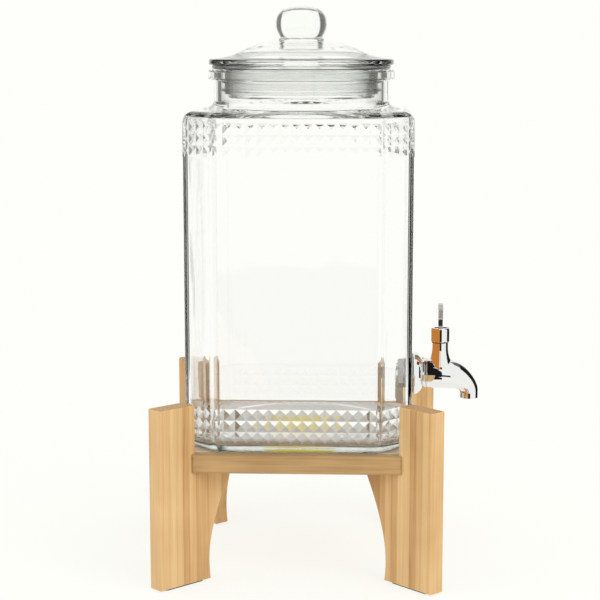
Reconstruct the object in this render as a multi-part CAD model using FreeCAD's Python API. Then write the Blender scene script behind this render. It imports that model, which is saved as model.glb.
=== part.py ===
import FreeCAD, Part
import math
import os

# Beverage dispenser: a square glass jar with a tap, standing on a four-legged bamboo stand.
# All sizes are in millimetres. +X is the way the tap pours, -Y is the front, +Z is up.
# The origin is on the floor, below the middle of the jar.

# ---- stand ----
SHELF_TOP = 84.8            # height of the shelf's upper face
SHELF_THICK = 12.0          # shelf board
SHELF_HALF = 75.5           # half the shelf's width
SHELF_CORNER = 99.0         # distance from the middle to the flat across each corner
LEG_THICK = 12.0            # leg board
LEG_OUTER = 123.7           # outer edge of a leg, along the diagonal
LEG_INNER = 95.6            # inner edge of a leg above the shelf, along the diagonal
LEG_HEIGHT = 116.1          # floor to top of leg
PAD_THICK = 1.0             # rubber pad under each leg

# ---- jar ----
JAR_BOTTOM = SHELF_TOP + 0.3
JAR_HALF = 72.3             # half the width across the flats
FLAT_HALF = 52.5            # half the width of each flat, up to the corner bevel
SHOULDER_TOP = 297.2
WALL = 4.0                  # glass thickness at the bands
PANEL_DEPTH = 0.4           # the plain middle of each wall stands back by this much
FLOOR_THICK = 4.0           # thick glass base
CEILING_THICK = 4.0         # glass thickness at the shoulder
EDGE_ROUND = 8.0            # rounding of the upright edges
BASE_ROUND = 6.0
SHOULDER_ROUND = 7.0
NECK_OUTER = 56.6
NECK_INNER = 52.0
RING_RADIUS = 60.2          # bead round the mouth
RING_BOTTOM = 315.6
JAR_TOP = 322.4
PUNT_RADIUS = 63.5          # shallow hollow under the base
PUNT_DEPTH = 1.2
STUD_PITCH = 7.0            # width of one sunk pyramid
STUD_ROWS = 3
STUD_RISE = 7.2             # height of one row
STUD_DEPTH = 0.85
RIDGE_HALF = 0.13           # half the plain ridge between two sunk pyramids
LOWER_BAND = 92.0           # bottom of each band of pyramids
UPPER_BAND = 269.6

# ---- lid ----
LID_RIM = 59.8
LID_BOTTOM = 325.0          # underside of the rim
PLUG_OUTER = 47.5
PLUG_INNER = 43.5
PLUG_BOTTOM = 304.2
SEAL_RIB = 51.6

# ---- tap ----
TAP_HEIGHT = 123.0          # axis of the shank
COLUMN_X = 91.8             # axis of the upright column
HOLE_RADIUS = 6.5           # hole in the jar
SHANK_RADIUS = 6.2
SHANK_END = 61.5            # inner end of the shank
FLANGE_BACK = JAR_HALF + 1.6
FLANGE_FRONT = 80.2
BODY_RADIUS = 9.95
COLUMN_RADIUS = 5.2
COLUMN_TOP = 143.8
CHAMBER_RADIUS = 3.95
SEAT_HEIGHT = 121.0
NOZZLE_X = 111.2
NOZZLE_BOTTOM = 107.0
NOZZLE_RADIUS = 6.0
NOZZLE_BORE = 4.5
COLLAR_RADIUS = 6.05        # bonnet
BONNET_TOP = 153.5
CAVITY_RADIUS = 4.6
CAVITY_FLOOR = 144.9
CAVITY_TOP = 152.2
PIVOT_HEIGHT = 150.4        # lever pivot, in the bonnet
PIN_RADIUS = 0.9
LEVER_HALF = 1.35           # half the lever's thickness
SLEEVE_BOTTOM = 155.0
SLEEVE_TOP = 159.3
LEVER_TOP = 169.4
LEVER_WIDTH = 12.0
SLOT_HALF = 2.2             # half the width of the slot the lever moves in
STEM_RADIUS = 1.5
SPRING_COIL = 2.5
SPRING_WIRE = 0.35
STEM_COLLAR_TOP = 125.2
SPRING_TOP = 139.0

V = FreeCAD.Vector
UP = V(0, 0, 1)
ALONG_X = V(1, 0, 0)
ALONG_Y = V(0, 1, 0)


def save(name, shape):
    """Write one sub-part. Each is a single closed solid."""
    if shape.ShapeType != "Solid" and len(shape.Solids) == 1:
        shape = shape.Solids[0]
    shape.exportStep("parts/" + name + ".step")


def box(low, high):
    size = [b - a for a, b in zip(low, high)]
    return Part.makeBox(size[0], size[1], size[2], V(*low))


def upright(radius, low, high, x=0.0, y=0.0):
    """A cylinder standing along Z."""
    return Part.makeCylinder(radius, high - low, V(x, y, low), UP)


def level(radius, low, high, z=TAP_HEIGHT):
    """A cylinder lying along X."""
    return Part.makeCylinder(radius, high - low, V(low, 0, z), ALONG_X)


def outline(points):
    return Part.makePolygon([V(*p) for p in points + points[:1]])


def turned(points, x=0.0):
    """A solid turned round an upright axis from (radius, height) points."""
    face = Part.Face(outline([(x + r, 0, z) for r, z in points]))
    return face.revolve(V(x, 0, 0), UP, 360)


def turned_level(points, z=TAP_HEIGHT):
    """A solid turned round the tap's level axis from (x, radius) points."""
    face = Part.Face(outline([(x, 0, z + r) for x, r in points]))
    return face.revolve(V(0, 0, z), ALONG_X, 360)


def turned_edges(edges):
    face = Part.Face(Part.Wire(edges))
    return face.revolve(V(0, 0, 0), UP, 360)


def line(a, b):
    return Part.makeLine(V(a[0], 0, a[1]), V(b[0], 0, b[1]))


def curve(points):
    """A smooth curve through (radius, height) points."""
    spline = Part.BSplineCurve()
    spline.interpolate([V(r, 0, z) for r, z in points])
    return spline.toShape()


# ---------------------------------------------------------------- stand

def shelf_board():
    low, high = SHELF_TOP - SHELF_THICK, SHELF_TOP
    cut = SHELF_CORNER * math.sqrt(2) - SHELF_HALF
    h = SHELF_HALF
    corners = [(h, -cut), (h, cut), (cut, h), (-cut, h), (-h, cut), (-h, -cut), (-cut, -h), (cut, -h)]
    board = Part.Face(outline([(x, y, low) for x, y in corners])).extrude(V(0, 0, high - low))
    long_edges = []
    for edge in board.Edges:
        middle = edge.CenterOfMass
        on_side = abs(max(abs(middle.x), abs(middle.y)) - h) < 0.01
        if on_side and min(abs(middle.x), abs(middle.y)) < 0.01:
            long_edges.append(edge)
    return board.makeFillet(2.0, long_edges)


def leg(angle):
    """One leg board on a diagonal. Its inner edge carries the shelf's corner in a notch."""
    ledge = SHELF_TOP - SHELF_THICK
    half = LEG_THICK / 2
    inner = [(64.0, ledge), (73.5, 55.0), (80.6, 37.0), (83.8, 24.0), (84.6, 14.0), (83.6, PAD_THICK)]
    profile = [
        line((83.6, PAD_THICK), (LEG_OUTER, PAD_THICK)),
        line((LEG_OUTER, PAD_THICK), (LEG_OUTER, LEG_HEIGHT)),
        line((LEG_OUTER, LEG_HEIGHT), (LEG_INNER, LEG_HEIGHT)),
        line((LEG_INNER, LEG_HEIGHT), (LEG_INNER, ledge)),
        line((LEG_INNER, ledge), inner[0]),
        curve(inner),
    ]
    board = Part.Face(Part.Wire(profile)).extrude(V(0, LEG_THICK, 0))
    board.translate(V(0, -half, 0))
    soft = []
    for edge in board.Edges:
        middle = edge.CenterOfMass
        on_face = abs(abs(middle.y) - half) < 0.01
        if on_face and abs(middle.z - ledge) > 0.01:
            soft.append(edge)
        elif not on_face and middle.z > LEG_HEIGHT - 0.01:
            soft.append(edge)
    board = board.makeFillet(1.2, soft)
    notch = box((LEG_INNER - 5, -half - 1, ledge), (SHELF_CORNER, half + 1, SHELF_TOP))
    board = board.cut(notch)
    board.rotate(V(0, 0, 0), UP, angle)
    return board


def foot_pad(angle):
    pad = box((88.0, -4.0, 0.0), (119.0, 4.0, PAD_THICK))
    pad = pad.makeFillet(2.5, [e for e in pad.Edges if abs(e.CenterOfMass.z - PAD_THICK / 2) < 0.01])
    pad.rotate(V(0, 0, 0), UP, angle)
    return pad


# ---------------------------------------------------------------- jar

def bevelled_square(half, flat, low, high, edge_round):
    """An upright square prism with bevelled corners and rounded upright edges."""
    corners = [(half, -flat), (half, flat), (flat, half), (-flat, half),
               (-half, flat), (-half, -flat), (-flat, -half), (flat, -half)]
    prism = Part.Face(outline([(x, y, low) for x, y in corners])).extrude(V(0, 0, high - low))
    uprights = [e for e in prism.Edges if abs(e.CenterOfMass.z - (low + high) / 2) < 0.01]
    return prism.makeFillet(edge_round, uprights)


def edges_at(shape, height):
    return [e for e in shape.Edges
            if abs(e.BoundBox.ZMin - height) < 0.01 and abs(e.BoundBox.ZMax - height) < 0.01]


def shrink_flat(inset):
    """Half the flat's width when the whole outline moves in by inset."""
    bevel = (JAR_HALF + FLAT_HALF) / math.sqrt(2) - inset
    return bevel * math.sqrt(2) - (JAR_HALF - inset)


def pocket(half_width, half_height):
    """A four-sided pyramid that cuts into a wall facing +X whose surface is at x = 0."""
    reach, tip = 0.1, 0.1
    grow = (STUD_DEPTH + reach) / STUD_DEPTH
    w, h = half_width * grow, half_height * grow
    cutter = Part.makeWedge(-w, -reach, -h, -tip, -tip, w, STUD_DEPTH, h, tip, tip)
    cutter.rotate(V(0, 0, 0), UP, 90)
    return cutter


def band_cutters(low, faces):
    """Three rows of sunk pyramids on the given sides: even numbers are flats, odd ones bevels.

    Side 0 faces +X and the numbers go round by way of the rear, so 2 is the rear flat and 5, 6 and 7 are the front ones."""
    bevel_distance = (JAR_HALF + FLAT_HALF) / math.sqrt(2)
    bevel_half = (JAR_HALF - FLAT_HALF) / math.sqrt(2)
    cutters = []
    for face in faces:
        flat = face % 2 == 0
        distance = JAR_HALF if flat else bevel_distance
        half_face = FLAT_HALF if flat else bevel_half
        count = round(2 * half_face / STUD_PITCH)
        pitch = 2 * half_face / count
        for column in range(count):
            across = -half_face + (column + 0.5) * pitch
            for row in range(STUD_ROWS):
                cutter = pocket(pitch / 2 - RIDGE_HALF, STUD_RISE / 2 - RIDGE_HALF)
                cutter.translate(V(distance, across, low + (row + 0.5) * STUD_RISE))
                cutter.rotate(V(0, 0, 0), UP, 45 * face)
                cutters.append(cutter)
    return cutters


def glass_jar():
    outside = bevelled_square(JAR_HALF, FLAT_HALF, JAR_BOTTOM, SHOULDER_TOP, EDGE_ROUND)
    outside = outside.makeFillet(BASE_ROUND, edges_at(outside, JAR_BOTTOM))
    outside = outside.makeFillet(SHOULDER_ROUND, edges_at(outside, SHOULDER_TOP))

    # the plain middle of the walls stands back a little from the two bands
    panel_low = LOWER_BAND + STUD_ROWS * STUD_RISE
    panel_high = UPPER_BAND
    sleeve = box((-90, -90, panel_low), (90, 90, panel_high)).cut(
        bevelled_square(JAR_HALF - PANEL_DEPTH, shrink_flat(PANEL_DEPTH), panel_low - 1, panel_high + 1,
                        EDGE_ROUND - PANEL_DEPTH))
    outside = outside.cut(sleeve)

    outside = outside.cut(band_cutters(LOWER_BAND, (2, 5, 6, 7)) + band_cutters(UPPER_BAND, range(8)))

    # plain round seat for the tap
    outside = outside.fuse(level(17.0, JAR_HALF - 6, JAR_HALF))

    neck = turned([
        (0, SHOULDER_TOP - 3), (64, SHOULDER_TOP - 3), (64, SHOULDER_TOP), (59.6, SHOULDER_TOP + 1.1),
        (57.5, SHOULDER_TOP + 2.6), (NECK_OUTER, SHOULDER_TOP + 4.8), (NECK_OUTER, RING_BOTTOM),
        (RING_RADIUS - 1.4, RING_BOTTOM), (RING_RADIUS - 0.4, RING_BOTTOM + 0.4),
        (RING_RADIUS, RING_BOTTOM + 1.4), (RING_RADIUS, JAR_TOP - 1.6),
        (RING_RADIUS - 0.5, JAR_TOP - 0.5), (RING_RADIUS - 1.6, JAR_TOP), (0, JAR_TOP)])
    outside = outside.fuse(neck)

    floor = JAR_BOTTOM + FLOOR_THICK
    ceiling = SHOULDER_TOP - CEILING_THICK
    inside = bevelled_square(JAR_HALF - WALL, shrink_flat(WALL), floor, ceiling, EDGE_ROUND - 2)
    inside = inside.makeFillet(5.0, edges_at(inside, floor))
    inside = inside.makeFillet(1.0, edges_at(inside, ceiling))
    mouth = turned([(0, ceiling - 1), (54.0, ceiling - 1), (54.0, ceiling), (52.6, ceiling + 1.2),
                    (NECK_INNER, ceiling + 3.2), (NECK_INNER, JAR_TOP - 0.8),
                    (NECK_INNER + 0.8, JAR_TOP), (NECK_INNER + 0.8, JAR_TOP + 1), (0, JAR_TOP + 1)])
    jar = outside.cut(inside).cut(mouth)
    jar = jar.cut(turned([(0, JAR_BOTTOM - 1), (PUNT_RADIUS + 1.2, JAR_BOTTOM - 1),
                          (PUNT_RADIUS + 1.2, JAR_BOTTOM), (PUNT_RADIUS, JAR_BOTTOM + PUNT_DEPTH),
                          (0, JAR_BOTTOM + PUNT_DEPTH)]))
    return jar.cut(level(HOLE_RADIUS, 60, 80))


def base_sticker():
    top = JAR_BOTTOM + PUNT_DEPTH
    return upright(24.0, top - 0.2, top)


# ---------------------------------------------------------------- lid

def glass_lid():
    knob = curve([(0, 362.4), (5.0, 362.15), (9.6, 361.2), (13.0, 359.2), (15.4, 356.2), (16.4, 352.0),
                  (16.2, 348.6), (15.1, 345.7), (13.9, 343.6), (13.4, 342.3)])
    dome = curve([(14.0, 340.4), (21.0, 339.8), (28.5, 338.5), (33.2, 336.9), (37.0, 334.8),
                  (41.2, 332.8), (46.0, 331.0), (51.0, 329.8), (58.4, 329.0)])
    hollow = curve([(PLUG_INNER, 320.0), (42.0, 323.6), (38.0, 327.6), (32.0, 331.0), (22.0, 333.9),
                    (10.0, 335.2), (0, 335.5)])
    corners = [(58.4, 329.0), (59.4, 328.6), (LID_RIM, 327.8), (LID_RIM, 326.2), (59.4, 325.4),
               (58.4, LID_BOTTOM), (PLUG_OUTER, LID_BOTTOM), (PLUG_OUTER, PLUG_BOTTOM + 1.2),
               (PLUG_OUTER - 0.4, PLUG_BOTTOM + 0.4), (PLUG_OUTER - 1.2, PLUG_BOTTOM),
               (PLUG_INNER + 1.2, PLUG_BOTTOM), (PLUG_INNER + 0.4, PLUG_BOTTOM + 0.4),
               (PLUG_INNER, PLUG_BOTTOM + 1.2), (PLUG_INNER, 320.0)]
    bead = [(13.4, 342.3), (14.3, 342.0), (14.8, 341.4), (14.6, 340.8), (14.0, 340.4)]
    edges = [knob]
    edges += [line(a, b) for a, b in zip(bead, bead[1:])]
    edges.append(dome)
    edges += [line(a, b) for a, b in zip(corners, corners[1:])]
    edges += [hollow, line((0, 335.5), (0, 362.4))]
    return turned_edges(edges)


def lid_seal():
    """Clear silicone ring round the lid's plug, with two ribs and a flange under the rim."""
    inner, body = PLUG_OUTER, PLUG_OUTER + 2.0
    return turned([
        (inner, 306.8), (body, 306.8), (body, 308.2), (SEAL_RIB - 0.5, 308.6), (SEAL_RIB, 309.2),
        (SEAL_RIB - 0.5, 309.9), (body, 310.4), (body, 313.6), (SEAL_RIB - 0.5, 314.0),
        (SEAL_RIB, 314.6), (SEAL_RIB - 0.5, 315.3), (body, 315.8), (body, 322.7), (57.0, 322.7),
        (57.6, 323.2), (57.6, 324.6), (57.0, LID_BOTTOM), (inner, LID_BOTTOM)])


# ---------------------------------------------------------------- tap

def ring_level(inner, outer, low, high):
    return level(outer, low, high).cut(level(inner, low - 1, high + 1))


def circle_across(x, z, lean, radius):
    """A circle square to the spout's run. lean is how far the run has turned downwards, in degrees."""
    a = math.radians(lean)
    circle = Part.Circle(V(x, 0, z), V(math.cos(a), 0, -math.sin(a)), radius)
    return Part.Wire(circle.toShape())


def spigot_body():
    """Shank, body, upright column and bent spout, with the waterway and valve seat inside."""
    shell = turned_level([
        (SHANK_END, 0), (SHANK_END, SHANK_RADIUS - 0.8), (SHANK_END + 0.8, SHANK_RADIUS),
        (FLANGE_FRONT, SHANK_RADIUS), (FLANGE_FRONT, 9.1), (81.0, 9.1), (81.0, 9.65), (81.3, BODY_RADIUS),
        (82.2, BODY_RADIUS), (82.5, 9.65), (82.5, 9.45), (82.9, 9.45), (83.2, BODY_RADIUS),
        (92.9, BODY_RADIUS), (92.9, 0)])
    spout = Part.makeLoft([
        circle_across(92.9, 123.0, 0, BODY_RADIUS), circle_across(97.0, 122.6, 9, 9.8),
        circle_across(100.8, 121.6, 19, 9.3), circle_across(106.7, 118.1, 45, 7.5),
        circle_across(110.3, 113.9, 72, 6.35), circle_across(NOZZLE_X, 110.6, 90, NOZZLE_RADIUS)], True)
    nozzle = upright(NOZZLE_RADIUS, NOZZLE_BOTTOM, 110.7, NOZZLE_X)
    column = turned([(0, 124.0), (9.0, 124.0), (9.0, 128.6), (8.2, 130.4), (7.2, 132.0), (6.3, 133.9),
                     (5.6, 136.4), (5.25, 138.8), (COLUMN_RADIUS, 141.0), (COLUMN_RADIUS, COLUMN_TOP),
                     (0, COLUMN_TOP)], COLUMN_X)
    body = shell.fuse([spout, nozzle, column])

    body = body.cut(level(4.3, SHANK_END - 1, 83.4))
    body = body.cut(level(2.6, 82.4, COLUMN_X, 124.2))
    body = body.cut(upright(CHAMBER_RADIUS, SEAT_HEIGHT, COLUMN_TOP + 1, COLUMN_X))
    body = body.cut(upright(2.5, 117.0, SEAT_HEIGHT + 0.5, COLUMN_X))
    for hollow in outlet_run():
        body = body.cut(hollow)
    return body


def cone_between(start, end, start_radius, end_radius):
    a, b = V(start[0], 0, start[1]), V(end[0], 0, end[1])
    return Part.makeCone(start_radius, end_radius, (b - a).Length, a, b - a)


def outlet_run():
    """The waterway from below the seat, round the bend to the nozzle."""
    start, bend, drop = (96.4, 117.3), (108.0, 116.6), (NOZZLE_X, 112.6)
    return [
        level(2.6, COLUMN_X - 2.4, 96.9, 117.3),
        cone_between(start, bend, 2.6, 3.9),
        Part.makeSphere(3.9, V(bend[0], 0, bend[1])),
        cone_between(bend, drop, 3.9, 4.4),
        Part.makeSphere(NOZZLE_BORE, V(drop[0], 0, drop[1])),
        upright(NOZZLE_BORE, NOZZLE_BOTTOM - 1, drop[1], NOZZLE_X),
    ]


def wall_flange():
    """Domed cover disc between the jar and the tap."""
    bore = SHANK_RADIUS + 0.05
    return turned_level([
        (FLANGE_BACK, bore), (FLANGE_BACK, 14.0), (FLANGE_BACK + 0.3, 14.4), (FLANGE_BACK + 1.0, 14.4),
        (76.2, 13.9), (77.6, 12.9), (78.8, 11.6), (79.7, 10.3), (FLANGE_FRONT, 9.3), (FLANGE_FRONT, bore)])


def lock_nut():
    hexagon = [(17 / math.sqrt(3) * math.cos(math.radians(60 * i + 30)),
                17 / math.sqrt(3) * math.sin(math.radians(60 * i + 30))) for i in range(6)]
    high = JAR_HALF - WALL - 2.3
    low = high - 3.5
    nut = Part.Face(outline([(low, y, TAP_HEIGHT + z) for y, z in hexagon])).extrude(V(3.5, 0, 0))
    cone = turned_level([(low, 0), (low, 8.8), (low + 0.8, 9.9), (high, 9.9), (high, 0)])
    nut = nut.common(cone)
    return nut.cut(level(SHANK_RADIUS + 0.05, low - 1, high + 1))


def bonnet():
    """Screwed cap of the column. Its cavity holds the lever's foot and the lift yoke."""
    cap = turned([
        (0, SPRING_TOP), (CHAMBER_RADIUS - 0.45, SPRING_TOP), (CHAMBER_RADIUS - 0.05, SPRING_TOP + 0.4),
        (CHAMBER_RADIUS - 0.05, 144.4), (COLLAR_RADIUS - 0.4, 144.4), (COLLAR_RADIUS, 144.8),
        (COLLAR_RADIUS, BONNET_TOP - 0.5), (COLLAR_RADIUS - 0.5, BONNET_TOP), (0, BONNET_TOP)], COLUMN_X)
    cap = cap.cut(upright(CAVITY_RADIUS, CAVITY_FLOOR, CAVITY_TOP, COLUMN_X))
    cap = cap.cut(upright(STEM_RADIUS + 0.1, SPRING_TOP - 1, CAVITY_FLOOR + 1, COLUMN_X))
    slot = box((COLUMN_X - 3.9, -SLOT_HALF, CAVITY_TOP - 0.3), (COLUMN_X + 8, SLOT_HALF, BONNET_TOP + 1))
    cap = cap.cut(slot)
    hole = Part.makeCylinder(PIN_RADIUS, 13.3, V(COLUMN_X, -5.3, PIVOT_HEIGHT), ALONG_Y)
    return cap.cut(hole)


def pivot_pin():
    return Part.makeCylinder(PIN_RADIUS, 10.9, V(COLUMN_X, -5.2, PIVOT_HEIGHT), ALONG_Y)


def slab(points, half_width):
    """A flat piece drawn in the X-Z plane about the lever pivot and given a width along Y."""
    face = Part.Face(outline([(COLUMN_X + x, -half_width, PIVOT_HEIGHT + z) for x, z in points]))
    return face.extrude(V(0, 2 * half_width, 0))


def lever_arm():
    """Paddle, neck, hub and lifting toe in one stainless piece."""
    hub = Part.makeCylinder(1.7, 3.0, V(COLUMN_X, -1.5, PIVOT_HEIGHT), ALONG_Y)
    toe_web = slab([(0.43, -0.34), (-0.43, 0.34), (-2.43, -2.26), (-1.57, -2.94)], 1.2)
    toe_tip = Part.makeCylinder(0.6, 2.4, V(COLUMN_X - 2.0, -1.2, PIVOT_HEIGHT - 2.6), ALONG_Y)
    neck = box((COLUMN_X - LEVER_HALF, -1.5, PIVOT_HEIGHT), (COLUMN_X + LEVER_HALF, 1.5, SLEEVE_BOTTOM))
    core = box((COLUMN_X - 0.9, -1.3, SLEEVE_BOTTOM), (COLUMN_X + 0.9, 1.3, SLEEVE_TOP))
    half = LEVER_WIDTH / 2
    paddle = box((COLUMN_X - LEVER_HALF, -half, SLEEVE_TOP), (COLUMN_X + LEVER_HALF, half, LEVER_TOP))
    corners = [e for e in paddle.Edges if abs(e.CenterOfMass.x - COLUMN_X) < 0.01]
    paddle = paddle.makeFillet(3.5, [e for e in corners if e.CenterOfMass.z > LEVER_TOP - 1])
    lower = [e for e in paddle.Edges if abs(e.CenterOfMass.x - COLUMN_X) < 0.01
             and e.CenterOfMass.z < SLEEVE_TOP + 1 and e.BoundBox.XLength > 2]
    paddle = paddle.makeFillet(2.0, lower)
    arm = hub.fuse([toe_web, toe_tip, neck, core, paddle])
    return arm.cut(Part.makeCylinder(PIN_RADIUS + 0.05, 8, V(COLUMN_X, -4, PIVOT_HEIGHT), ALONG_Y))


def lever_sleeve():
    sleeve = box((COLUMN_X - 1.4, -1.9, SLEEVE_BOTTOM), (COLUMN_X + 1.4, 1.9, SLEEVE_TOP))
    sleeve = sleeve.makeFillet(0.4, [e for e in sleeve.Edges if e.BoundBox.ZLength > 1])
    return sleeve.cut(box((COLUMN_X - 0.9, -1.3, SLEEVE_BOTTOM - 1), (COLUMN_X + 0.9, 1.3, SLEEVE_TOP + 1)))


def plunger_stem():
    return turned([
        (0, 122.4), (STEM_RADIUS, 122.4), (STEM_RADIUS, 124.0), (3.4, 124.0), (3.4, STEM_COLLAR_TOP),
        (STEM_RADIUS, STEM_COLLAR_TOP), (STEM_RADIUS, 145.9), (0, 145.9)], COLUMN_X)


def lift_yoke():
    """Small stirrup on the stem's top. The lever's toe lifts it by its cross-bar."""
    base = upright(4.2, 145.2, 145.9, COLUMN_X)
    low_x, high_x = COLUMN_X - 3.55, COLUMN_X - 2.3
    posts = [box((low_x, side, 145.5), (high_x, side + 0.7, 149.4)) for side in (1.8, -2.5)]
    bar = box((low_x, -2.5, 148.7), (high_x, 2.5, 149.4))
    yoke = base.fuse(posts + [bar])
    return yoke.cut(upright(STEM_RADIUS, 145, 146.2, COLUMN_X))


def seat_cup():
    return turned([
        (0, SEAT_HEIGHT + 0.05), (2.6, SEAT_HEIGHT + 0.05), (3.6, SEAT_HEIGHT + 0.6), (3.6, 124.0),
        (STEM_RADIUS, 124.0), (STEM_RADIUS, 122.4), (0, 122.4)], COLUMN_X)


def valve_spring():
    low = STEM_COLLAR_TOP + SPRING_WIRE
    high = SPRING_TOP - SPRING_WIRE
    turns = 7
    helix = Part.makeHelix((high - low) / turns, high - low, SPRING_COIL)
    wire = Part.Wire(Part.Circle(V(SPRING_COIL, 0, 0), ALONG_Y, SPRING_WIRE).toShape())
    spring = Part.Wire(helix).makePipeShell([wire], True, True)
    spring.translate(V(COLUMN_X, 0, low))
    return spring


def main():
    os.makedirs("parts", exist_ok=True)
    save("shelf_board", shelf_board())
    places = {"front_right": -45, "rear_right": 45, "rear_left": 135, "front_left": 225}
    for place, angle in places.items():
        save("leg_" + place, leg(angle))
        save("foot_pad_" + place, foot_pad(angle))
    save("glass_jar", glass_jar())
    save("base_sticker", base_sticker())
    save("glass_lid", glass_lid())
    save("lid_seal", lid_seal())
    save("spigot_body", spigot_body())
    save("wall_flange", wall_flange())
    save("outer_washer", ring_level(SHANK_RADIUS + 0.1, 12.8, JAR_HALF, FLANGE_BACK))
    inside_wall = JAR_HALF - WALL
    save("inner_washer", ring_level(SHANK_RADIUS + 0.1, 9.4, inside_wall - 1.5, inside_wall))
    save("metal_washer", ring_level(SHANK_RADIUS + 0.1, 9.1, inside_wall - 2.3, inside_wall - 1.5))
    save("lock_nut", lock_nut())
    save("bonnet", bonnet())
    save("bonnet_seal", upright(5.6, COLUMN_TOP, 144.4, COLUMN_X).cut(upright(4.0, 143, 145, COLUMN_X)))
    save("pivot_pin", pivot_pin())
    save("lever_arm", lever_arm())
    save("lever_sleeve", lever_sleeve())
    save("plunger_stem", plunger_stem())
    save("lift_yoke", lift_yoke())
    save("seat_cup", seat_cup())
    save("valve_spring", valve_spring())


main()
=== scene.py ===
import math

import bpy
from mathutils import Matrix, Vector


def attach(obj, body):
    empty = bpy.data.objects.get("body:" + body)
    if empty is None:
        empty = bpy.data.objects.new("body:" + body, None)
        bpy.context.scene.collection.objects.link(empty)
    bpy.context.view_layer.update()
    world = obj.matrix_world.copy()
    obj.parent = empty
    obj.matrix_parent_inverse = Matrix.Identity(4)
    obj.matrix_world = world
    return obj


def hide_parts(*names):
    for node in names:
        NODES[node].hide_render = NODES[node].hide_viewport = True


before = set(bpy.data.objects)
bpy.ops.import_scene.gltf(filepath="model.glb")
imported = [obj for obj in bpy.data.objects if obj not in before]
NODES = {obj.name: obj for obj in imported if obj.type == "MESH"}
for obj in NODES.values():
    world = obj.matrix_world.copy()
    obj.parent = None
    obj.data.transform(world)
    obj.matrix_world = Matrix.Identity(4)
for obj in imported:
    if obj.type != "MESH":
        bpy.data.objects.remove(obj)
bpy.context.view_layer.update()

MM = 0.001


# ---------------------------------------------------------------- camera

AZIMUTH = math.radians(2.31)
ELEVATION = math.radians(8.96)
DISTANCE = 1.0875
TARGET = Vector((0, 0, 0.1714))
SENSOR_MM = 36.0
LENS_MM = 98.86
SHIFT = -0.00227            # centres the object as the framing needs


def add_camera():
    data = bpy.data.cameras.new("camera")
    data.sensor_width = SENSOR_MM
    data.lens = LENS_MM
    data.shift_x = SHIFT
    camera = bpy.data.objects.new("camera", data)
    bpy.context.scene.collection.objects.link(camera)
    towards = Vector((math.sin(AZIMUTH) * math.cos(ELEVATION), -math.cos(AZIMUTH) * math.cos(ELEVATION),
                      math.sin(ELEVATION)))
    camera.location = TARGET + towards * DISTANCE
    camera.rotation_euler = (-towards).to_track_quat("-Z", "Y").to_euler()
    bpy.context.scene.camera = camera


# ---------------------------------------------------------------- node helpers

class Tree:
    """A material's node tree, with short ways to add and join nodes."""

    NAMES = {"colour": "Base Color", "metallic": "Metallic", "roughness": "Roughness", "ior": "IOR",
             "transmission": "Transmission Weight", "specular": "Specular IOR Level"}
    MIX_FACTOR, MIX_A, MIX_B, MIX_COLOUR = 0, 6, 7, 2      # the Mix node's sockets in colour mode

    def __init__(self, name):
        self.material = bpy.data.materials.new(name)
        self.material.use_nodes = True
        self.nodes = self.material.node_tree.nodes
        self.links = self.material.node_tree.links
        self.shader = self.nodes["Principled BSDF"]
        self.output = self.nodes["Material Output"]

    def add(self, kind, inputs=None, **settings):
        node = self.nodes.new("ShaderNode" + kind)
        for key, value in settings.items():
            setattr(node, key, value)
        for key, value in (inputs or {}).items():
            self.feed(node.inputs[key], value)
        return node

    def feed(self, socket, value):
        """Join a socket to another socket or to a node's first output, or give it a constant."""
        if isinstance(value, bpy.types.NodeSocket):
            self.links.new(value, socket)
        elif isinstance(value, bpy.types.Node):
            self.links.new(value.outputs[0], socket)
        else:
            socket.default_value = value

    def math(self, operation, *values):
        return self.add("Math", dict(enumerate(values)), operation=operation).outputs[0]

    def noise(self, place, scale, **more):
        settings = {key.capitalize(): value for key, value in more.items()}
        return self.add("TexNoise", {"Vector": place, "Scale": scale, **settings}).outputs[0]

    def object_place(self):
        return self.add("TexCoord").outputs["Object"]

    def axes(self, vector):
        return self.add("SeparateXYZ", {0: vector}).outputs

    def join(self, x, y, z):
        return self.add("CombineXYZ", {0: x, 1: y, 2: z}).outputs[0]

    def mix(self, factor, a, b):
        node = self.add("Mix", data_type="RGBA")
        self.feed(node.inputs[self.MIX_FACTOR], factor)
        self.feed(node.inputs[self.MIX_A], a)
        self.feed(node.inputs[self.MIX_B], b)
        return node.outputs[self.MIX_COLOUR]

    def ramp(self, factor, stops):
        node = self.add("ValToRGB", {0: factor})
        elements = node.color_ramp.elements
        while len(elements) < len(stops):
            elements.new(0.5)
        for element, (place, colour) in zip(elements, stops):
            element.position = place
            element.color = colour
        return node.outputs[0]

    def smooth(self, value, start, stop, low=0.0, high=1.0):
        """A soft change from low, where value is start, to high, where it is stop."""
        return self.add("MapRange", {"Value": value, "From Min": start, "From Max": stop, "To Min": low,
                                     "To Max": high}, interpolation_type="SMOOTHSTEP").outputs[0]

    def bump(self, height, distance, strength):
        node = self.add("Bump", {"Height": height, "Distance": distance, "Strength": strength})
        self.links.new(node.outputs[0], self.shader.inputs["Normal"])

    def emission(self, colour):
        return self.add("Emission", {"Color": colour})

    def surface(self, amount, under, over):
        """Shows over where amount is 1, and under where it is 0."""
        both = self.add("MixShader", {0: amount, 1: under, 2: over})
        self.links.new(both.outputs[0], self.output.inputs["Surface"])

    def set(self, **values):
        for key, value in values.items():
            self.feed(self.shader.inputs[self.NAMES[key]], value)


def rgb(red, green, blue):
    """A screen colour from 0 to 255, as the linear colour that shaders use."""
    out = []
    for value in (red, green, blue):
        value /= 255
        out.append(value / 12.92 if value <= 0.04045 else ((value + 0.055) / 1.055) ** 2.4)
    return (*out, 1.0)


# ---------------------------------------------------------------- materials

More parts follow.
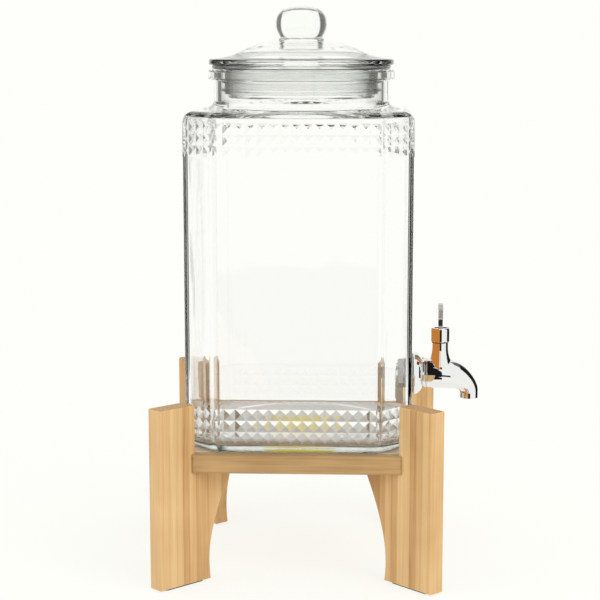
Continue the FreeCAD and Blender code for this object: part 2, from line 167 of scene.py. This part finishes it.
STRIP_WIDE = 0.0052         # one bamboo strip
STRIP_WANDER = 0.0016       # how far the strips' lines stray
GLUE_FROM = 0.47            # from a strip's middle to its glue line, of the strip's width
GLUE_STRENGTH = 0.16
PAINTED_LIGHT_HALF = 0.068           # half of the square of painted light under the jar

# dark, middle and light wood, glue line, and the dark of the cut fibres
LEG_TONES = [rgb(176, 130, 80), rgb(208, 166, 112), rgb(226, 190, 138), rgb(140, 98, 56), rgb(112, 72, 38)]
# painted shade: the shelf has the legs' bamboo in darker tones, for the shade that falls on it under the jar
SHELF_SHADED_TONES = [rgb(152, 116, 74), rgb(188, 152, 104), rgb(206, 176, 130), rgb(124, 88, 54), rgb(100, 66, 36)]
# painted light: the pale tone of the shelf under the jar, for the light that comes through the glass
PAINTED_LIGHT_TONE = rgb(255, 236, 212)


def bamboo(name, tones, turn=0.0, upright=False, seed=0.0, painted_light_tone=None):
    """Edge-laminated bamboo. turn brings the board's width onto X. upright says that its strips stand up.

    The last argument, if given, is the tone of painted light on the middle of a board's upper face, under the
    jar, which stands in for light that comes through the glass."""
    dark, middle, light, glue_tone, fibre_end = tones
    t = Tree(name)
    where = t.object_place()
    local = t.add("Mapping", {"Vector": where, "Rotation": (0, 0, turn)}, vector_type="POINT").outputs[0]
    x, y, z = t.axes(local)
    wide, thick, grain = (x, y, z) if upright else (y, z, x)

    # strips with slightly wandering lines, each with its own tone
    wander = t.noise(t.join(wide, t.math("MULTIPLY", grain, 0.12), thick), 60.0, detail=1.0)
    shift = t.math("MULTIPLY", t.math("SUBTRACT", wander, 0.5), STRIP_WANDER)
    strip = t.math("DIVIDE", t.math("ADD", t.math("ADD", wide, shift), 0.5 + seed), STRIP_WIDE)
    tone = t.add("TexWhiteNoise", {"W": t.math("FLOOR", strip)}, noise_dimensions="1D").outputs[0]

    # fibres drawn out along the grain, and slow clouds of tone
    drawn_out = t.join(wide, t.math("MULTIPLY", grain, 0.018), t.math("MULTIPLY", thick, 0.7))
    fibre = t.noise(drawn_out, 900.0, detail=3.0, roughness=0.6)
    coarse = t.noise(drawn_out, 260.0, detail=2.0, roughness=0.5)
    cloud = t.noise(where, 26.0, detail=2.0)
    value = t.math("MULTIPLY_ADD", tone, 0.34, t.math("MULTIPLY", fibre, 0.42))
    value = t.math("ADD", value, t.math("MULTIPLY", coarse, 0.34))
    value = t.math("ADD", value, t.math("MULTIPLY", t.math("SUBTRACT", cloud, 0.5), 0.35))
    colour = t.ramp(value, [(0.25, dark), (0.52, middle), (0.8, light)])

    # thin darker glue lines between strips
    from_middle = t.math("ABSOLUTE", t.math("SUBTRACT", t.math("FRACT", strip), 0.5))
    glue = t.math("MULTIPLY", t.math("GREATER_THAN", from_middle, GLUE_FROM), GLUE_STRENGTH)
    colour = t.mix(glue, colour, glue_tone)

    facing_up = t.axes(t.add("TexCoord").outputs["Normal"])[2]
    if upright:
        # the cut ends show dots of fibre instead of lines
        end = t.math("GREATER_THAN", t.math("ABSOLUTE", facing_up), 0.8)
        dots = t.add("TexVoronoi", {"Vector": where, "Scale": 1400.0}).outputs[0]
        colour = t.mix(end, colour, t.ramp(dots, [(0.0, fibre_end), (0.35, dark), (0.8, middle)]))
    if painted_light_tone:
        # painted light: the middle of the upper face, under the jar, is made paler for the light that comes
        # through the glass
        across, deep, _ = t.axes(where)
        reach = t.math("MAXIMUM", t.math("ABSOLUTE", across), t.math("ABSOLUTE", deep))
        painted_light_area = t.math("MULTIPLY", t.math("GREATER_THAN", facing_up, 0.9),
                        t.math("LESS_THAN", reach, PAINTED_LIGHT_HALF))
        colour = t.mix(painted_light_area, colour, t.mix(0.2, painted_light_tone, colour))

    t.set(colour=colour, roughness=t.math("MULTIPLY_ADD", fibre, 0.12, 0.4), specular=0.35)
    t.bump(t.math("ADD", fibre, t.math("MULTIPLY", glue, -3.0)), 0.12 * MM, 0.5)
    return t.material


def clear_glass(name):
    """Clear glass with a faint green-grey body and slightly wavy faces."""
    t = Tree(name)
    t.set(colour=(1, 1, 1, 1), roughness=0.0, ior=1.5, transmission=1.0)
    t.bump(t.noise(t.object_place(), 28.0, detail=1.0, roughness=0.4), 0.6 * MM, 0.35)
    absorb = t.add("VolumeAbsorption", {"Color": (0.80, 0.86, 0.80, 1), "Density": 5.0})
    t.links.new(absorb.outputs[0], t.output.inputs["Volume"])
    return t.material


def chrome(name):
    t = Tree(name)
    haze = t.noise(t.object_place(), 120.0, detail=3.0)
    t.set(colour=(0.86, 0.86, 0.87, 1), metallic=1.0, roughness=t.math("MULTIPLY_ADD", haze, 0.012, 0.008))
    return t.material


def steel(name):
    """Steel brushed up and down."""
    t = Tree(name)
    stretched = t.add("Mapping", {"Vector": t.object_place(), "Scale": (1, 1, 0.03)}).outputs[0]
    lines = t.noise(stretched, 3500.0, detail=2.0)
    t.set(colour=t.ramp(lines, [(0.3, rgb(186, 186, 187)), (0.7, rgb(214, 214, 214))]), metallic=1.0,
          roughness=t.math("MULTIPLY_ADD", lines, 0.15, 0.28))
    t.bump(lines, 0.03 * MM, 0.4)
    return t.material


def plastic(name, dark, light, roughness):
    t = Tree(name)
    fine = t.noise(t.object_place(), 1500.0, detail=2.0)
    t.set(colour=t.ramp(fine, [(0.3, dark), (0.7, light)]), roughness=roughness)
    t.bump(fine, 0.03 * MM, 0.5)
    return t.material


def label_paper(name):
    """Plain yellow, with a faint painted glow that stands in for the light the glass keeps from it, so that it
    stays bright under the glass.
    """
    yellow = rgb(240, 219, 70)
    material = plastic(name, yellow, rgb(250, 232, 96), 0.6)
    inputs = material.node_tree.nodes["Principled BSDF"].inputs
    # painted light: a glow in the label's own yellow
    inputs["Emission Color"].default_value = yellow
    inputs["Emission Strength"].default_value = 0.25
    return material


def clear_silicone(name):
    t = Tree(name)
    haze = t.noise(t.object_place(), 90.0, detail=2.0)
    t.set(colour=rgb(252, 253, 252), roughness=t.math("MULTIPLY_ADD", haze, 0.06, 0.22), ior=1.41,
          transmission=1.0)
    return t.material


# ---------------------------------------------------------------- studio

WHITE = rgb(254, 254.6, 250)
DARK = (0.012, 0.012, 0.013, 1)
GREY = (0.15, 0.155, 0.14, 1)
AMBER = rgb(206, 132, 60)
COLUMN = (0.0918, 0.0)      # the tap's column, from above
FLOOR_HALF = 3.0


def add_mesh(name, points, faces):
    mesh = bpy.data.meshes.new(name)
    mesh.from_pydata(points, [], faces)
    obj = bpy.data.objects.new(name, mesh)
    bpy.context.scene.collection.objects.link(obj)
    return obj


def add_panel(name, wide, deep):
    return add_mesh(name, [(0, 0, 0), (wide, 0, 0), (wide, deep, 0), (0, deep, 0)], [(0, 1, 2, 3)])


def faded(t, amount, value, size, fade, start=0.0):
    """amount, faded out at both ends of the stretch of value from start to size."""
    for edge, inner in ((start, start + fade), (size, size - fade)):
        amount = t.math("MULTIPLY", amount, t.smooth(value, edge, inner))
    return amount


def finish_card(card, t, amount, colour):
    """Makes card glow in reflections and through glass only."""
    t.surface(amount, t.add("BsdfTransparent"), t.emission(colour))
    card.data.materials.append(t.material)
    card.visible_camera = False
    card.visible_shadow = False
    card.visible_diffuse = False
    return card


def panel_glow(card, name, wide, deep, colour, fade_side, fade_end):
    t = Tree(name)
    across, along, _ = t.axes(t.object_place())
    amount = 1.0
    for value, size, fade in ((across, wide, fade_side), (along, deep, fade_end)):
        if fade > 0:
            amount = faded(t, amount, value, size, fade)
    return finish_card(card, t, amount, colour)


def soft_panel(name, start, end, low, high, colour, fade_side=0.04, fade_end=0.04):
    """An upright panel between two points on the floor.

    Its edges fade out softly over fade_side and, at top and bottom, fade_end."""
    a, b = Vector((*start, low)), Vector((*end, low))
    along, upwards = (b - a).normalized(), Vector((0, 0, 1))
    wide, tall = (b - a).length, high - low
    card = add_panel(name, wide, tall)
    turn = Matrix((along, upwards, along.cross(upwards))).transposed().to_4x4()
    card.matrix_world = Matrix.Translation(a) @ turn
    return panel_glow(card, name, wide, tall, colour, fade_side, fade_end)


def flat_panel(name, low, high, height, colour, fade=0.001):
    """A level panel over the floor, from corner low to corner high."""
    wide, deep = high[0] - low[0], high[1] - low[1]
    card = add_panel(name, wide, deep)
    card.location = (*low, height)
    return panel_glow(card, name, wide, deep, colour, fade, fade)


def floor_sector(name, centre, first, last, near, far, colour, height=0.003, fade=0.12, steps=24):
    """A level fan round centre, between two bearings in degrees from the front."""
    points = []
    for step in range(steps + 1):
        bearing = math.radians(first + (last - first) * step / steps)
        for reach in (near, far):
            points.append((centre[0] + math.sin(bearing) * reach, centre[1] - math.cos(bearing) * reach,
                           height))
    card = add_mesh(name, points, [(2 * i, 2 * i + 1, 2 * i + 3, 2 * i + 2) for i in range(steps)])
    t = Tree(name)
    offset = t.add("VectorMath", {0: t.object_place(), 1: (*centre, height)}, operation="SUBTRACT").outputs[0]
    reach = t.add("VectorMath", {0: offset}, operation="LENGTH").outputs["Value"]
    return finish_card(card, t, faded(t, 1.0, reach, far, fade, start=near), colour)


def mirror_only(card):
    """Keeps the card out of the glass."""
    card.visible_transmission = False
    return card


def one_sided(card):
    """The card shows only from the side that its normal points to."""
    tree = card.data.materials[0].node_tree
    mix = next(node for node in tree.nodes if node.type == "MIX_SHADER")
    geometry = tree.nodes.new("ShaderNodeNewGeometry")
    front = tree.nodes.new("ShaderNodeMath")
    front.operation = "SUBTRACT"
    front.inputs[0].default_value = 1.0
    tree.links.new(geometry.outputs["Backfacing"], front.inputs[1])
    tree.links.new(front.outputs[0], mix.inputs[0])
    return card


def area_light(name, place, towards, size, power):
    data = bpy.data.lights.new(name, "AREA")
    data.shape = "RECTANGLE"
    data.size = data.size_y = size
    data.energy = power
    light = bpy.data.objects.new(name, data)
    bpy.context.scene.collection.objects.link(light)
    light.location = place
    light.rotation_euler = (Vector(towards) - Vector(place)).to_track_quat("-Z", "Y").to_euler()
    light.visible_camera = False
    light.visible_glossy = False
    light.visible_transmission = False


def add_floor():
    """A pale floor that glows like the backdrop, and takes a faint shadow near the object."""
    r = FLOOR_HALF
    floor = add_mesh("floor", [(-r, -r, 0), (r, -r, 0), (r, r, 0), (-r, r, 0)], [(0, 1, 2, 3)])
    t = Tree("floor")
    t.set(colour=rgb(250, 250, 246), roughness=0.9, specular=0.0)
    far = t.add("VectorMath", {0: t.object_place()}, operation="LENGTH").outputs["Value"]
    t.surface(t.smooth(far, 0.08, 0.5, 0.8, 1.0), t.shader, t.emission(WHITE))
    floor.data.materials.append(t.material)


def studio():
    world = bpy.data.worlds.new("studio")
    bpy.context.scene.world = world
    world.use_nodes = True
    back = world.node_tree.nodes["Background"]
    back.inputs["Color"].default_value = WHITE
    back.inputs["Strength"].default_value = 1.0
    add_floor()

    # dark flags behind, either side of a white window that is wider than the jar
    soft_panel("flag_back_left", (-0.34, 0.50), (-0.62, 0.10), 0.0, 1.1, GREY, 0.05)
    soft_panel("flag_back_right", (0.36, 0.50), (0.68, 0.10), 0.0, 1.1, GREY, 0.05)
    # dark strip in front of the tap's body: on the floor, then upright, then overhead
    mirror_only(flat_panel("flag_tap_floor", (0.084, -0.34), (0.106, -0.15), 0.002, DARK))
    mirror_only(soft_panel("flag_tap_front", (0.092, -0.34), (0.109, -0.34), 0.0, 0.6, DARK, 0.001, 0.0))
    mirror_only(flat_panel("flag_tap_over", (0.092, -0.36), (0.118, 0.25), 0.6, DARK))
    # dark fan straight in front of the column
    mirror_only(floor_sector("flag_column", COLUMN, -12, 16, 0.36, 1.6, DARK))
    # dark strip behind on the right, for the right edges of the column and the spout
    mirror_only(soft_panel("flag_tap_right", (0.50, -0.02), (0.40, 0.34), 0.0, 0.5, DARK, 0.02, 0.02))
    # warm fan on the floor, left of the dark one, for the left half of the column
    mirror_only(floor_sector("warm_floor", COLUMN, -12, -30, 0.19, 1.1, AMBER))
    # warm cards in the gap between the jar and the tap, seen only in the tap: beside the body, then higher
    # up beside the column, a little nearer to the jar
    for name, x, end, low, high in (("warm_gap_low", 0.0835, -0.0135, 0.100, 0.1345),
                                    ("warm_gap_high", 0.0815, 0.012, 0.1345, 0.21)):
        one_sided(mirror_only(soft_panel(name, (x, -0.062), (x, end), low, high, AMBER, 0, 0)))

    area_light("key", (0.9, -0.9, 1.0), (0, 0, 0.1), 0.7, 6.0)
    area_light("fill", (-1.1, -0.6, 0.7), (0, 0, 0.1), 0.8, 2.0)


# ---------------------------------------------------------------- the new piece

LABEL_HEIGHT = 86.3 * MM
LABEL_PROFILE_MM = [(0, -0.22), (23.7, -0.22), (23.95, -0.16), (24.0, -0.08), (24.0, 0.02), (23.9, 0.05),
                    (0, 0.05)]


def lathe(name, profile, height, steps=96):
    """A closed piece turned round the upright axis from (radius, height) points. Both ends lie on the axis."""
    points, faces, rings = [], [], []
    for radius, z in profile:
        first = len(points)
        if radius == 0:
            rings.append([first] * steps)
            points.append((0, 0, height + z))
            continue
        rings.append(list(range(first, first + steps)))
        for i in range(steps):
            a = 2 * math.pi * i / steps
            points.append((radius * math.cos(a), radius * math.sin(a), height + z))
    for low, high in zip(rings, rings[1:]):
        for i in range(steps):
            j = (i + 1) % steps
            corners = (low[i], low[j], high[j], high[i])
            faces.append(tuple(dict.fromkeys(corners)))     # an end ring is one point, so its faces lose one
    return add_mesh(name, points, faces)


def label_disc(material):
    """The plain round sticker, pressed a hair into the glass so that it shows through the base."""
    disc = lathe("label_disc", [(r * MM, z * MM) for r, z in LABEL_PROFILE_MM], LABEL_HEIGHT)
    disc.data.materials.append(material)
    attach(disc, "jar")
    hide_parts("base_sticker")


# ---------------------------------------------------------------- the whole

LEG_BEARINGS = {"front_right": -45, "rear_right": 45, "rear_left": 135, "front_left": 225}
# light passes many faces of glass before it leaves the jar
BOUNCES, GLOSSY_BOUNCES = 28, 16


def paint(material, *nodes):
    for node in nodes:
        mesh = NODES[node].data
        if not mesh.materials:
            mesh.materials.append(material)
        for i in range(len(mesh.materials)):
            mesh.materials[i] = material


def main():
    scene = bpy.context.scene
    scene.view_settings.view_transform = "Standard"
    scene.cycles.max_bounces = BOUNCES
    scene.cycles.glossy_bounces = GLOSSY_BOUNCES
    scene.cycles.transmission_bounces = BOUNCES
    add_camera()
    studio()

    for place, bearing in LEG_BEARINGS.items():
        wood = bamboo("bamboo_" + place, LEG_TONES, -math.radians(bearing), True, seed=0.013 * bearing)
        paint(wood, "leg_" + place)
    paint(bamboo("bamboo_shelf", SHELF_SHADED_TONES, seed=0.3, painted_light_tone=PAINTED_LIGHT_TONE), "shelf_board")
    paint(plastic("pad_rubber", rgb(38, 36, 34), rgb(52, 49, 46), 0.7),
          *("foot_pad_" + place for place in LEG_BEARINGS))
    paint(clear_glass("glass"), "glass_jar", "glass_lid")
    label_disc(label_paper("sticker"))
    paint(clear_silicone("clear_silicone"), "lid_seal")
    paint(chrome("chrome"), "spigot_body", "wall_flange", "bonnet")
    paint(steel("steel"), "metal_washer", "lock_nut", "pivot_pin", "lever_arm", "plunger_stem", "lift_yoke",
          "valve_spring")
    paint(plastic("white_silicone", rgb(214, 214, 210), rgb(228, 228, 225), 0.5),
          "outer_washer", "inner_washer", "seat_cup")
    paint(plastic("black_rubber", rgb(22, 22, 22), rgb(34, 34, 34), 0.6), "bonnet_seal")
    paint(plastic("black_plastic", rgb(18, 18, 19), rgb(30, 30, 31), 0.4), "lever_sleeve")


main()
